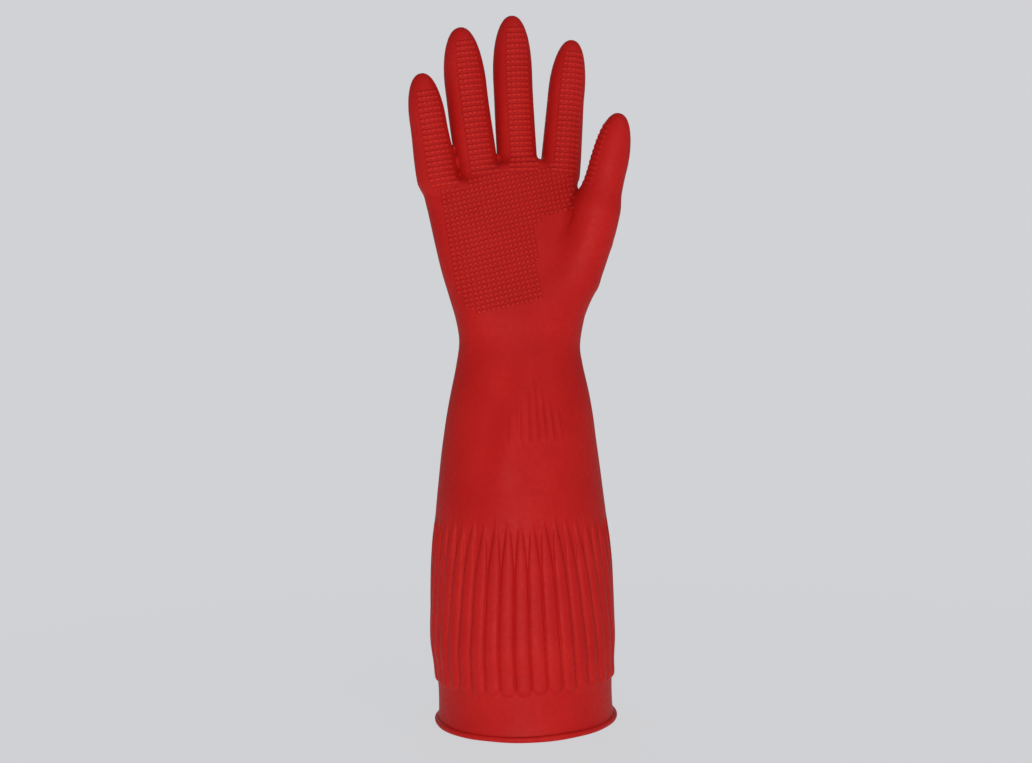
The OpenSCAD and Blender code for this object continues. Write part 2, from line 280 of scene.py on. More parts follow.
def profile_at(z):
    """The section at a height: half width, half depth, centre x and squareness."""
    return [curve_through(z, PROFILE[:, 0], PROFILE[:, column]) for column in (1, 2, 3, 4)]


def section_distance(points):
    """Distance from the oval sections of the sleeve and the palm."""
    half_width, half_depth, centre, square = profile_at(points[:, 2])
    x = np.abs(points[:, 0] - centre) / half_width + 1e-9
    y = np.abs(points[:, 1]) / half_depth + 1e-9
    size = (x ** square + y ** square) ** (1 / square)
    slope = np.hypot((x / size) ** (square - 1) / half_width,
        (y / size) ** (square - 1) / half_depth)
    return (size - 1) / slope


def ball_distance(points):
    """Distance from the ball of the thumb, a chain of blended round stretches."""
    total = None
    for a, b in zip(THUMB_BALL, THUMB_BALL[1:]):
        along = b[:3] - a[:3]
        t = np.clip((points - a[:3]) @ along / (along @ along), 0, 1)
        middle = a[:3] + t[:, None] * along
        distance = np.linalg.norm(points - middle, axis=1) - (a[3] + t * (b[3] - a[3]))
        total = distance if total is None else smooth_min(total, distance, CHAIN_BLEND)
    return total


def hand_distance(points):
    """Less than 0 inside the hand. Near the surface it is about the distance to it."""
    palm = section_distance(points)
    web = curve_through(points[:, 0], WEB_LINE[:, 0], WEB_LINE[:, 1])
    palm = smooth_max(palm, points[:, 2] - web, WEB_BLEND)
    palm = smooth_min(palm, ball_distance(points), BALL_BLEND)
    distances = [finger.distance(points) for finger in FINGERS]
    hand = smooth_min(palm, distances[4], THUMB_BLEND)
    # Fingers that touch are flat there, with a narrow gap between them
    order = np.sort(np.stack(distances[:4]), axis=0)
    four = np.maximum(order[0], (FINGER_GAP - (order[1] - order[0])) / 2)
    return smooth_min(hand, four, FINGER_BLEND)


def slope_of(distance, points, step=0.05):
    """The distance at each point, and the direction in which it grows."""
    here = distance(points)
    slope = np.empty_like(points)
    for axis in range(3):
        moved = points.copy()
        moved[:, axis] += step
        slope[:, axis] = (distance(moved) - here) / step
    return here, slope


def settle(distance, points, flat, level=0.0, steps=3):
    """Moves points onto the surface at a level. Those in flat keep their height."""
    points = points.copy()
    for _ in range(steps):
        here, slope = slope_of(distance, points)
        slope[flat, 2] = 0
        size = np.maximum((slope * slope).sum(axis=1), LEAST_SLOPE)
        move = -((here - level) / size)[:, None] * slope
        length = np.linalg.norm(move, axis=1)
        points += move * np.minimum(1, LONGEST_MOVE / np.maximum(length, 1e-9))[:, None]
    return points


def surface_net(distance, low, high, cell, level=0.0):
    """Quads along the surface of distance, one point for each grid cell that it crosses."""
    counts = np.ceil((high - low) / cell).astype(int) + 1
    axes = [low[i] + cell * np.arange(counts[i]) for i in range(3)]
    grid = np.stack(np.meshgrid(*axes, indexing="ij"), axis=-1)
    values = np.empty(counts)
    for i in range(counts[0]):
        values[i] = distance(grid[i].reshape(-1, 3)).reshape(counts[1:]) - level
    inside = values < 0
    corners = [(i, j, k) for i in (0, 1) for j in (0, 1) for k in (0, 1)]

    def part(array, c):
        """The array's values at one corner of every cell."""
        return array[tuple(slice(c[i], counts[i] - 1 + c[i]) for i in range(3))]

    filled = sum(part(inside, c).astype(int) for c in corners)
    active = (filled > 0) & (filled < len(corners))
    where = np.argwhere(active)
    number = np.full(active.shape, -1)
    number[active] = np.arange(len(where))
    total = np.zeros((len(where), 3))
    crossings = np.zeros(len(where))
    for a in corners:
        for axis in range(3):
            if a[axis]:
                continue
            b = tuple(1 if i == axis else a[i] for i in range(3))
            va, vb = part(values, a)[active], part(values, b)[active]
            crossed = (va < 0) != (vb < 0)
            t = np.where(crossed, va / np.where(va == vb, 1, va - vb), 0)
            offset = np.array(a, float)[None] + t[:, None] * (np.array(b) - np.array(a))
            total[crossed] += offset[crossed]
            crossings[crossed] += 1
    points = low + (where + total / crossings[:, None]) * cell
    faces = []
    for axis in range(3):
        u, v = (axis + 1) % 3, (axis + 2) % 3
        here = [slice(1, n - 1) for n in counts]
        here[axis] = slice(0, counts[axis] - 1)
        there = list(here)
        there[axis] = slice(1, counts[axis])
        first, second = inside[tuple(here)], inside[tuple(there)]
        edges = np.argwhere(first != second)
        leaving = first[tuple(edges.T)]
        edges = edges + [0 if i == axis else 1 for i in range(3)]
        around = []
        for du, dv in ((1, 1), (0, 1), (0, 0), (1, 0)):
            cells = edges.copy()
            cells[:, u] -= du
            cells[:, v] -= dv
            around.append(number[tuple(cells.T)])
        quads = np.stack(around, axis=1)
        quads[~leaving] = quads[~leaving][:, ::-1]
        faces.append(quads)
    faces = np.concatenate(faces)
    return points, faces[(faces >= 0).all(axis=1)]


def edges_of(quads):
    """The edges of the quads, each once, and how many quads use it."""
    edges = np.concatenate([quads[:, [i, (i + 1) % 4]] for i in range(4)])
    return np.unique(np.sort(edges, axis=1), axis=0, return_counts=True)


def open_edge(quads, count):
    """Which points lie on an open edge."""
    edges, uses = edges_of(quads)
    flat = np.zeros(count, bool)
    flat[edges[uses == 1].ravel()] = True
    return flat


def even_out(distance, points, faces, flat, rounds, level=0.0):
    """Spreads the points evenly over the surface."""
    edges, _ = edges_of(faces)
    count = np.bincount(edges.ravel(), minlength=len(points))
    for _ in range(rounds):
        total = np.zeros_like(points)
        np.add.at(total, edges[:, 0], points[edges[:, 1]])
        np.add.at(total, edges[:, 1], points[edges[:, 0]])
        moved = points + EVEN_SHARE * (total / count[:, None] - points)
        moved[flat] = points[flat]
        points = settle(distance, moved, flat, level, steps=1)
    return settle(distance, points, flat, level, steps=2)


def hand_net(cell, level, rounds):
    """The hand above the seam, as points and quads, and which points lie on the seam."""
    top = max(box_mm(f"{finger}_tip")[1][2] for finger in ("ring", "middle"))
    left = box_mm("little_tip")[0][0] - SIDE_SPARE
    right = box_mm("thumb_tip")[1][0] + SIDE_SPARE
    front = box_mm("thumb_tip")[0][1] - SIDE_SPARE
    back = box_mm("fluted_cuff")[1][1] * BACK_SHARE
    low = np.array([left, front, SEAM_Z])
    high = np.array([right, back, top + TOP_SPARE])
    points, faces = surface_net(hand_distance, low, high, cell, level)
    used = np.unique(faces)
    renumber = np.full(len(points), -1)
    renumber[used] = np.arange(len(used))
    points, faces = points[used], renumber[faces]
    flat = open_edge(faces, len(points))
    points[flat, 2] = SEAM_Z
    points = settle(hand_distance, points, flat, level)
    return even_out(hand_distance, points, faces, flat, rounds, level), faces, flat


# ---------------- marks on the skin

# The palm's field of dots: x and height of its corners
GRIP_OUTLINE = np.array([
    [-45.5, 314.4], [-41.2, 276.5], [-34.7, 250], [-26.7, 240.1], [11.4, 248.7], [9.2, 289],
    [15.2, 297.9], [27.2, 301.8], [32.4, 303.2], [35.6, 316], [37, 323], [31, 331],
    [22, 331], [21.5, 328.5], [12, 328.5], [11.5, 331], [-4.5, 331], [-5, 325.5],
    [-12.5, 325.5], [-13, 330], [-28, 328], [-28.5, 314.5], [-37, 315.5], [-37.5, 321],
    [-46, 321]])
PALM_PITCH = 2.82  # from dot to dot
COLUMN_LEAN = math.radians(8)
ROW_TILT = math.radians(12)
PALM_DOT = (0.31, 0.27)  # half width and half height, in pitches
PALM_FRONT = -3  # the field lies in front of this y
STRIP_COLUMNS = 5
STRIP_PITCH = (3.1, 3.14)  # round the finger, and along it
STRIP_DOT = (0.44, 0.27)
STRIP_SPREAD = 1.03  # radius that it is wrapped round, over the tip's
STRIP_REACH = 1.6  # in radii from the finger's middle
# How far each strip stops from the tip and goes on below the root, and its dots' height
STRIPS = {"little": (12, 7, 1), "ring": (10, 7, 1), "middle": (9, 7, 1), "index": (9, 7, 1),
    "thumb": (9, -11, 0.6)}
STRIP_APART = (1.5, 3.5)  # strips fade out between nearer fingers
DOT_HEIGHT = 0.45
DOT_FOOT = 1.38  # where a dot's flank ends, in half sizes
DOT_FLANK = 0.7  # and how wide it is
CRISP_DOT = (0.85, 1.2)  # the flank in the material
# Creases: two ends, depth (less than 0 is a ridge) and width
CREASES = [
    ([-53, -2, 317], [-43, -14, 309], 0.75, 2.4),
    ([-51.5, -3, 311.5], [-43, -14, 304], -0.3, 2.6),
    ([35, -18, 303], [23, -21, 289], 0.85, 1.9),
    ([40, -8, 312], [33, -17, 303], 0.5, 2.2),
    ([4, -29, 219], [-19, -41, 149], -1.5, 8.0),
    ([-15, -35, 212], [-33, -34, 138], 1.0, 8.5),
    ([14, -35, 190], [-4, -44, 140], 0.7, 8.0),
]
CREASE_END = 1.25  # it has faded out here, in half lengths
CREASE_FADE = 0.5  # and over how much of them
UNEVENNESS = [(0.2, 34, 3), (0.06, 11, 8)]  # height, size of the features and seed


def inside_outline(x, z, outline):
    """Which of the points lie inside a closed outline."""
    inside = np.zeros(len(x), bool)
    for (xa, za), (xb, zb) in zip(outline, np.roll(outline, -1, axis=0)):
        spans = (za > z) != (zb > z)
        if za != zb:
            inside ^= spans & (x < xa + (z - za) * (xb - xa) / (zb - za))
    return inside


def dot_shape(u, v, half):
    """A raised, rounded rectangle round each whole u and v: 1 on top, 0 between them."""
    u, v = np.abs(u - np.round(u)), np.abs(v - np.round(v))
    size = ((u / half[0]) ** 4 + (v / half[1]) ** 4) ** 0.25
    return smooth((DOT_FOOT - size) / DOT_FLANK)


def palm_places(points):
    """Places in the palm's grid of dots, as u, v and whether they lie in its field."""
    x, z = points[:, 0], points[:, 2]
    axes = np.array([[math.cos(COLUMN_LEAN), -math.sin(ROW_TILT)],
        [math.sin(COLUMN_LEAN), math.cos(ROW_TILT)]]) / PALM_PITCH
    u, v = (np.stack([x, z], axis=1) @ axes).T
    centre_x, centre_z = (np.round([u, v]).T @ np.linalg.inv(axes)).T
    field = (points[:, 1] < PALM_FRONT) & inside_outline(centre_x, centre_z, GRIP_OUTLINE)
    return np.stack([u, v, field], axis=1)


def strip_places(points, finger):
    """Places in the grid of dots on a finger, and whether they lie in its strip."""
    local = finger.local(points)
    z = local[:, 2]
    width = finger.radius(z)
    x = local[:, 0] / width
    y = (local[:, 1] - finger.centre_y(z)) / (width * FINGER_DEPTH)
    turn = np.arctan2(x, -y) - finger.strip_turn
    u = turn * finger.tip_radius * STRIP_SPREAD / STRIP_PITCH[0]
    stop, past_root, share = STRIPS[finger.name]
    top = finger.tip - stop
    v = (top - z) / STRIP_PITCH[1]
    rows = (top - finger.root + past_root) / STRIP_PITCH[1]
    strip = ((np.abs(np.round(u)) <= (STRIP_COLUMNS - 1) / 2) & (np.round(v) >= 0)
        & (np.round(v) <= rows) & (np.hypot(x, y) < STRIP_REACH))
    return np.stack([u, v, strip * share], axis=1)


def grip_places(points):
    """Places in the palm's grid and in the nearest finger's grid."""
    palm = palm_places(points)
    distances = np.stack([finger.distance(points) for finger in FINGERS])
    nearest = distances.argmin(axis=0)
    strip = np.zeros_like(palm)
    for number, finger in enumerate(FINGERS):
        mine = nearest == number
        strip[mine] = strip_places(points[mine], finger)
    # The strips' edges fade out where two fingers nearly touch
    first, second = np.sort(distances, axis=0)[:2]
    strip[:, 2] *= smooth((second - first - STRIP_APART[0]) / STRIP_APART[1])
    palm[:, 2] *= 1 - strip[:, 2]
    return palm, strip


def grip(points):
    """Height of the grip pattern in mm, and where the pattern lies."""
    palm, strip = grip_places(points)
    height = (dot_shape(palm[:, 0], palm[:, 1], PALM_DOT) * palm[:, 2]
        + dot_shape(strip[:, 0], strip[:, 1], STRIP_DOT) * strip[:, 2])
    return height * DOT_HEIGHT, (palm[:, 2] + strip[:, 2]) > 0


def creases(points):
    """How far the creases and soft folds lie below the smooth surface, in mm."""
    depth = np.zeros(len(points))
    for start, end, deep, wide in CREASES:
        start, end = np.array(start, float), np.array(end, float)
        along = end - start
        t = (points - start) @ along / (along @ along)
        nearest = start + np.clip(t, 0, 1)[:, None] * along
        away = np.linalg.norm(points - nearest, axis=1) / wide
        beyond = np.abs(t - 0.5) * 2
        depth += deep * np.exp(-away * away) * smooth((CREASE_END - beyond) / CREASE_FADE)
    return depth


def unevenness(points):
    return sum(height * waves(points, size, seed) for height, size, seed in UNEVENNESS)


# ---------------- the sleeve

FLUTE_DEPTH = 1.9
FLUTE_RISE = 0.6  # of which over the plain sleeve
FLUTE_FOOT = 4.5  # how long a flute's rounded lower end is
FLUTE_POINT = 26  # how long its narrowing upper end is
FLUTE_FADE = 20  # it grows shallow over this height
FLUTE_EDGE = 0.8  # columns within this are on the ridge
FLUTE_SHIFT = 0.24  # the first one's place, in flutes from the front
FAN = 0.30  # how far they gather to the front as they rise
FAN_MIDDLE = -0.16
FAN_ROUNDS = 14
JOIN_Z, JOIN_TURN = 76, -0.66  # where two flutes run together for a short way
JOIN_SIZE = (7, 0.055)
RIBS = 7  # thin ribs in an arch on the forearm
RIB_HEIGHT = 0.65
RIB_HALF = 0.95
RIB_FOOT = 166.5
RIB_LEFT, RIB_RIGHT = -12.2, 17.3
RIB_LEAN = 0.16  # how far they gather as they rise
RIB_TOPS = np.array([186.5, 194.5, 201.5, 206.5, 199.5, 192.5, 187.5])
HEM_FLARE = 0.9  # how far the hem turns out towards its bead


def sleeve_section(z, turn, out):
    """A point on the sleeve. turn is 0 at the palm's side and grows towards +X."""
    half_width, half_depth, centre, square = profile_at(z)
    sin, cos = np.sin(turn), np.cos(turn)
    x = np.sign(sin) * np.abs(sin) ** (2 / square)
    y = -np.sign(cos) * np.abs(cos) ** (2 / square)
    normal = np.stack([x / half_width, y / half_depth], axis=-1)
    normal /= np.linalg.norm(normal, axis=-1, keepdims=True)
    return np.stack([centre + half_width * x + out * normal[..., 0],
        half_depth * y + out * normal[..., 1], z], axis=-1)


def sleeve_columns():
    """Where the columns of points lie, in flutes. They are closest at the ridges' edges."""
    across = np.array([-1, -0.9, -0.8, -0.74, -0.58, -0.28, 0, 0.28, 0.58, 0.74, 0.8, 0.9])
    return (np.arange(FLUTES)[:, None] + 0.5 + across / 2).ravel()


class Flutes:
    """The flutes at a set of points, given by height and by place counted in flutes."""

    def __init__(self, z, place):
        random = np.random.default_rng(5)
        tops = FLUTE_TOP + 1.5 + random.uniform(-2, 1.5, FLUTES)
        feet = HEM_TOP + 1.6 + random.uniform(-0.5, 0.7, FLUTES)
        deep = random.uniform(0.82, 1.12, FLUTES)
        wide = random.uniform(0.92, 0.98, FLUTES)
        whole = np.floor(place + 1e-6)
        number = whole.astype(int) % FLUTES
        self.z, self.deep, self.foot = z, deep[number], feet[number]
        self.top = tops[number]
        self.half = wide[number] * np.clip((self.top - z) / FLUTE_POINT, 0.03, 1) ** 0.55
        column = 2 * (place - whole) - 1
        gather = smooth((self.top + 6 - z) / 10)
        edge = FLUTE_EDGE + (np.maximum(self.half, 0.45) - FLUTE_EDGE) * gather
        inner = np.abs(column) / FLUTE_EDGE * edge
        outer = edge + (np.abs(column) - FLUTE_EDGE) / (1 - FLUTE_EDGE) * (1 - edge)
        self.across = np.sign(column) * np.where(np.abs(column) < FLUTE_EDGE, inner, outer)
        self.turn = turn_of(whole + 0.5 + self.across / 2, z)

    def fade(self):
        """1 along the flutes, and 0 above their tops."""
        return smooth((self.top + 4 - self.z) / FLUTE_FADE)

    def floor(self):
        """How far the valleys between the ridges lie under the plain section."""
        sunk = self.fade() * smooth((self.z - HEM_TOP) / 16)
        joined = np.exp(-((self.z - JOIN_Z) / JOIN_SIZE[0]) ** 2
            - ((self.turn - JOIN_TURN) / JOIN_SIZE[1]) ** 2)
        return -(FLUTE_DEPTH - FLUTE_RISE) * sunk * (1 - 0.75 * joined)

    def ridge(self):
        """How far the ridges stand over their valleys."""
        below = np.maximum(self.foot + FLUTE_FOOT - self.z, 0) / FLUTE_FOOT
        size = np.hypot(self.across / self.half, below)
        round_top = np.sqrt(np.maximum(1 - np.minimum(size, 1) ** 2.7, 0))
        return FLUTE_DEPTH * self.deep * self.fade() * round_top


def turn_of(place, z):
    """The turn about the glove at a place. The flutes gather to the front as they rise."""
    rise = np.clip((z - HEM_TOP) / (FLUTE_TOP - HEM_TOP), 0, 1)
    straight = 2 * math.pi * (place + FLUTE_SHIFT) / FLUTES
    turn = straight
    for _ in range(FAN_ROUNDS):
        wobble = 0.012 * np.sin(z / 19 + 3 * turn) * rise
        turn = straight - FAN * np.sin(turn - FAN_MIDDLE) * rise ** 1.15 - wobble
    return turn


def forearm_ribs(points):
    """Height of the thin ribs on the forearm, in mm."""
    x, z = points[..., 0], points[..., 2]
    pitch = (RIB_RIGHT - RIB_LEFT) / (RIBS - 1)
    squeeze = 1 - RIB_LEAN * smooth((z - RIB_FOOT) / 40)
    middle = (RIB_LEFT + RIB_RIGHT) / 2
    place = ((x - middle) / squeeze + middle - RIB_LEFT) / pitch
    number = np.clip(np.round(place), 0, RIBS - 1).astype(int)
    across = np.abs(place - number) * pitch / RIB_HALF
    top = RIB_TOPS[number]
    ends = smooth((z - RIB_FOOT) / 1.6) * smooth((top - z) / 9)
    return RIB_HEIGHT * np.exp(-across ** 2.4) * ends * (points[..., 1] < 0)


def sleeve_heights():
    """Heights of the skin's rings, closest together where the flutes and ribs begin."""
    return np.concatenate([
        np.linspace(1.4, HEM_TOP - 1.5, 8),
        np.linspace(HEM_TOP - 0.6, HEM_TOP + 7, 11),
        np.linspace(HEM_TOP + 8.6, FLUTE_TOP + 7, 37),
        np.linspace(FLUTE_TOP + 10.5, RIB_FOOT - 2.5, 10),
        np.linspace(RIB_FOOT - 1.2, SEAM_Z - 1.2, 27),
    ])


def sleeve_grid(columns, heights, surface):
    """Rings up the sleeve, as points, quads and the numbers of the top ring's points."""
    z, place = np.meshgrid(heights, columns, indexing="ij")
    points = surface(z, place)
    number = np.arange(z.size).reshape(z.shape)
    after = np.roll(number, -1, axis=1)
    quads = np.stack([number[:-1], after[:-1], after[1:], number[1:]], axis=-1).reshape(-1, 4)
    return points.reshape(-1, 3), quads, number[-1]


def sleeve_skin(z, place):
    """The sleeve's outer points, with the flutes, ribs, creases and unevenness."""
    flutes = Flutes(z, place)
    turn = flutes.turn
    out = flutes.floor() + flutes.ridge()
    plain = sleeve_section(z, turn, 0 * z)
    out = out + forearm_ribs(plain)
    flat = plain.reshape(-1, 3)
    # The marks are shallower near the mouth
    away = smooth((z - 4) / 12) * 0.75 + 0.25
    out = out + (unevenness(flat) - creases(flat)).reshape(z.shape) * away
    out = out + HEM_FLARE * (1 - smooth((z - 1) / 6))
    return sleeve_section(z, turn, out)


def sleeve_lining(z, place):
    """The lining's points, under the floor of the flutes and the creases."""
    flutes = Flutes(z, place)
    plain = sleeve_section(z, flutes.turn, 0 * z)
    sunk = np.maximum(creases(plain.reshape(-1, 3)), 0).reshape(z.shape)
    return sleeve_section(z, flutes.turn, flutes.floor() - LINING - sunk)


def zip_rings(lower, upper, points):
    """Triangles between two rings of points round the sleeve's axis."""
    def by_turn(ring):
        turn = np.arctan2(points[ring, 0], -points[ring, 1])
        order = np.argsort(turn)
        return ring[order], turn[order]

    lower, low_turn = by_turn(lower)
    upper, up_turn = by_turn(upper)
    low_turn = np.append(low_turn, low_turn[0] + 2 * math.pi)
    up_turn = np.append(up_turn, up_turn[0] + 2 * math.pi)
    i = j = 0
    faces = []
    while i < len(lower) or j < len(upper):
        a, b = lower[i % len(lower)], upper[j % len(upper)]
        step_low = i < len(lower) and (j == len(upper) or low_turn[i + 1] < up_turn[j + 1])
        if step_low:
            faces.append([a, lower[(i + 1) % len(lower)], b])
            i += 1
        else:
            faces.append([a, upper[(j + 1) % len(upper)], b])
            j += 1
    return faces


# ---------------- the whole skin

def new_mesh(name, points, faces):
    mesh = bpy.data.meshes.new(name)
    mesh.from_pydata(points.tolist(), [], faces)
    return mesh


def vectors_of(items, name):
    values = np.empty(len(items) * 3)
    items.foreach_get(name, values)
    return values.reshape(-1, 3)


def refine(points, faces):
    """Cuts the faces under the grip pattern smaller."""
    mesh = new_mesh("refine", points, faces.tolist())
    work = bmesh.new()
    work.from_mesh(mesh)
    work.faces.ensure_lookup_table()
    centres = points[faces].mean(axis=1)
    field = grip(centres)[1]
    for axis in (0, 2):
        for way in (-GRIP_MARGIN, GRIP_MARGIN):
            moved = centres.copy()
            moved[:, axis] += way
            field |= grip(moved)[1]
    edges = {edge for number in np.flatnonzero(field) for edge in work.faces[number].edges}
    edges = sorted(edges, key=lambda edge: edge.index)
    bmesh.ops.subdivide_edges(work, edges=edges, cuts=GRIP_CUTS, use_grid_fill=True)
    work.to_mesh(mesh)
    work.free()
    fine_points = vectors_of(mesh.vertices, "co")
    fine_faces = [list(face.vertices) for face in mesh.polygons]
    bpy.data.meshes.remove(mesh)
    return fine_points, fine_faces


def marked_hand():
    """The hand's skin with its grip pattern, ribs, creases and unevenness: points, faces,
    which points lie on the seam, and the points before any marks."""
    points, faces, _ = hand_net(SKIN_CELL, 0.0, rounds=4)
    points, faces = refine(points, faces)
    flat = np.abs(points[:, 2] - SEAM_Z) < 0.02
    plain = settle(hand_distance, points, flat, steps=2)
    out = unit(slope_of(hand_distance, plain)[1])
    height = (grip(plain)[0] - creases(plain) + forearm_ribs(plain) + unevenness(plain))
    return plain + out * height[:, None], faces, np.flatnonzero(flat), plain


def whole_skin():
    """One surface from the mouth to the fingertips: points, faces, and the points before
    any marks were raised on them."""
    low, quads, top_ring = sleeve_grid(sleeve_columns(), sleeve_heights(), sleeve_skin)
    high, faces, seam_ring, plain_high = marked_hand()
    points = np.concatenate([low, high])
    faces = [[number + len(low) for number in face] for face in faces]
    bridge = zip_rings(top_ring, seam_ring + len(low), points)
    return points, quads.tolist() + bridge + faces, np.concatenate([low, plain_high])


def depth_under(points, skin):
    """How far points lie under the skin's nearest face, and which way that face looks."""
    found = [skin.find_nearest(point) for point in points.tolist()]
    nearest = np.array([list(hit[0]) for hit in found])
    outward = np.array([list(hit[1]) for hit in found])
    return ((nearest - points) * outward).sum(axis=1), outward


def whole_lining(skin_points, skin_faces):
    """The lining from near the mouth to the fingertips, with its faces looking inwards."""
    heights = np.linspace(3.4, SEAM_Z - 2.6, 64)
    low, quads, top_ring = sleeve_grid(np.arange(FLUTES * 3) / 3, heights, sleeve_lining)
    high, faces, flat = hand_net(FLOCK_CELL, -LINING, rounds=3)
    out = unit(slope_of(hand_distance, high)[1])
    high = high - out * np.maximum(creases(high) * ~flat, 0)[:, None]
    skin = BVHTree.FromPolygons(skin_points.tolist(), skin_faces)
    above = ~flat & (high[:, 2] > WRIST)
    depth, outward = depth_under(high[above], skin)
    high[above] -= outward * np.maximum(LINING - LINING_SLACK - depth, 0)[:, None]
    # A face that bridges a narrow web would show between the fingers
    faces = faces[depth_under(high[faces].mean(axis=1), skin)[0] > LEAST_COVER]
    points = np.concatenate([low, high])
    faces = (faces + len(low)).tolist()
    bridge = zip_rings(top_ring, np.flatnonzero(flat) + len(low), points)
    inward = [face[::-1] for face in quads.tolist() + bridge + faces]
    return points, inward


# ---------------- cutting it into pieces

HEM_SPARE = 0.2  # the hem's piece ends this far below its top
WRIST_SPARE = (1.0, 1.5)  # the wrist's goes on below and above its bend
ROOT_SPARE = 0.7  # a finger's goes on below its bend
FINGER_REACH = 2.5  # faces this near to a finger belong to it
INNER_WALL_TOP = 4.5
RIM = 0.3  # height of the mouth's edge


def face_centres(points, faces):
    count = np.array([len(face) for face in faces])
    flat = np.concatenate([np.asarray(face) for face in faces])
    owner = np.repeat(np.arange(len(faces)), count)
    total = np.zeros((len(faces), 3))
    np.add.at(total, owner, points[flat])
    return total / count[:, None]


def zone_names(points, faces):
    """The zone that each face belongs to, by name."""
    centres = face_centres(points, faces)
    z = centres[:, 2]
    names = np.full(len(faces), "hand", dtype=object)
    names[z < WRIST + WRIST_ZONE + WRIST_SPARE[1]] = "wrist"
    names[z < WRIST - WRIST_ZONE - WRIST_SPARE[0]] = "gauntlet"
    names[z < FLUTE_TOP] = "fluted"
    names[z < HEM_TOP - HEM_SPARE] = "hem"
    distances = np.stack([finger.distance(centres) for finger in FINGERS])
    nearest = distances.argmin(axis=0)
    near = distances.min(axis=0) < FINGER_REACH
    for number, finger in enumerate(FINGERS):
        along = finger.local(centres)[:, 2]
        mine = near & (nearest == number) & (along > finger.zones[0][0] - ROOT_SPARE)
        for joint, border in zip(finger.joints, finger.borders):
            names[mine & (along > border)] = f"{finger.name}_{joint}"
    return names


def cut_out(points, faces, names, zone):
    """The points and faces of one zone, and the numbers of its points."""
    chosen = [faces[number] for number in np.flatnonzero(names == zone)]
    used = np.unique(np.concatenate([np.asarray(face) for face in chosen]))
    renumber = {old: new for new, old in enumerate(used.tolist())}
    return points[used], [[renumber[old] for old in face] for face in chosen], used


def add_object(name, data):
    made = bpy.data.objects.new(name, data)
    bpy.context.scene.collection.objects.link(made)
    return made


def make_piece(name, points, faces, material, normals=None, places=()):
    """A visible piece, from points in mm. places are more attributes for its material."""
    mesh = new_mesh(name, points * MM, faces)
    mesh.shade_smooth()
    for attribute, values in [("rest_place", points * MM), *places]:
        place = mesh.attributes.new(attribute, "FLOAT_VECTOR", "POINT")
        place.data.foreach_set("vector", values.astype(np.float32).ravel())
    mesh.materials.append(material)
    if normals is not None:
        mesh.normals_split_custom_set_from_vertices(normals.tolist())
    piece = add_object(name, mesh)
    return piece


def surface_normals(points, faces):
    """Normals of the uncut surface, so that no line shows where pieces meet."""
    mesh = new_mesh("whole", points, faces)
    normals = vectors_of(mesh.vertex_normals, "vector")
    bpy.data.meshes.remove(mesh)
    return normals


# ---------------- the rolled bead

def bead_outline(share):
    """A point of the bead's section: the skin's edge rolled outwards into a coil."""
    turn = 2 * math.pi * share
    swell = 1 - 0.12 * np.exp(-((share - 0.2) / 0.05) ** 2)
    return np.cos(turn) * swell, np.sin(turn) * swell


def make_bead(material):
    """The rolled bead: a coil of rubber round the mouth, slightly uneven."""
    steps, sides = 240, 22
    turn = np.arange(steps) * 2 * math.pi / steps
    share = np.arange(sides) / sides
    turn, share = np.meshgrid(turn, share, indexing="ij")
    uneven = 1 + 0.05 * np.sin(5 * turn + 1) + 0.03 * np.sin(13 * turn)
    across, up = bead_outline(share)
    half = (BEAD_RADIUS - HEM_RADIUS) / 2
    out = HEM_RADIUS + half + half * 1.1 * uneven * across + 0.2 * np.sin(4 * turn + 2)
    lift = 0.12 * np.sin(3 * turn + 0.7) + 0.08 * np.sin(7 * turn)
    height = np.maximum(BEAD_HEIGHT / 2 * (1 + uneven * up) + lift, 0.02)
    points = np.stack([out * np.sin(turn), -out * np.cos(turn), height], axis=-1)
    number = np.arange(turn.size).reshape(turn.shape)
    after, beside = np.roll(number, -1, axis=0), np.roll(number, -1, axis=1)
    corner = np.roll(after, -1, axis=1)
    faces = np.stack([number, after, corner, beside], axis=-1).reshape(-1, 4)
    piece = make_piece("cuff_bead_roll", points.reshape(-1, 3), faces.tolist(), material)
    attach(piece, "sleeve")
    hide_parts("cuff_bead")


def with_inner_wall(points, faces, normals, top):
    """Adds the rubber's inner face up to a height, joined to the outer one at the mouth."""
    low = points[:, 2].min()
    ring = np.flatnonzero(points[:, 2] < low + RIM)
    ring = ring[np.argsort(np.arctan2(points[ring, 0], -points[ring, 1]))]
    levels = [(0.3, low - 0.5), (WALL, low + 0.3), (WALL, (low + top) / 2), (WALL, top)]
    base = points[ring]
    out = unit(base * [1, 1, 0])
    added, last, count = [], ring, len(points)
    faces = list(faces)
    for inset, z in levels:
        level = base - out * (inset + 0.7 * smooth((z - low) / 6))
        level[:, 2] = z
        added.append(level)
        here = count + np.arange(len(ring))
        count += len(ring)
        for a, b, c, d in zip(last, np.roll(last, -1), np.roll(here, -1), here):
            faces.append([int(a), int(d), int(c), int(b)])
        last = here
    inner = np.concatenate([-out] * len(levels))
    return (np.concatenate([points] + added), faces, np.concatenate([normals, inner]))


# ---------------- materials

# Colours, 0 to 255 on screen
RUBBER = (182, 22, 20)
RUBBER_CLOUD = (190, 27, 23)
RUBBER_SPOT = (170, 19, 15)
# Painted shade between the grip dots, and a painted highlight on their tops
RUBBER_PAINTED_SHADE_BETWEEN_DOTS = (150, 11, 11)
RUBBER_DOT_PAINTED_HIGHLIGHT = (206, 42, 33)
FLOCK = (232, 222, 208)
FLOCK_PATCH = (216, 201, 186)
FLOCK_DEEP = (186, 160, 146)


def shader(name):
    material = bpy.data.materials.new(name)
    material.use_nodes = True
    return material, material.node_tree


def linear(red, green, blue):
    """A colour given as 0 to 255 on screen."""
    return [((value / 255 + 0.055) / 1.055) ** 2.4 for value in (red, green, blue)] + [1]


def set_inputs(node, **values):
    """Sets a node's sockets. An underscore stands for a space in a socket's name."""
    for name, value in values.items():
        node.inputs[name.replace("_", " ")].default_value = value


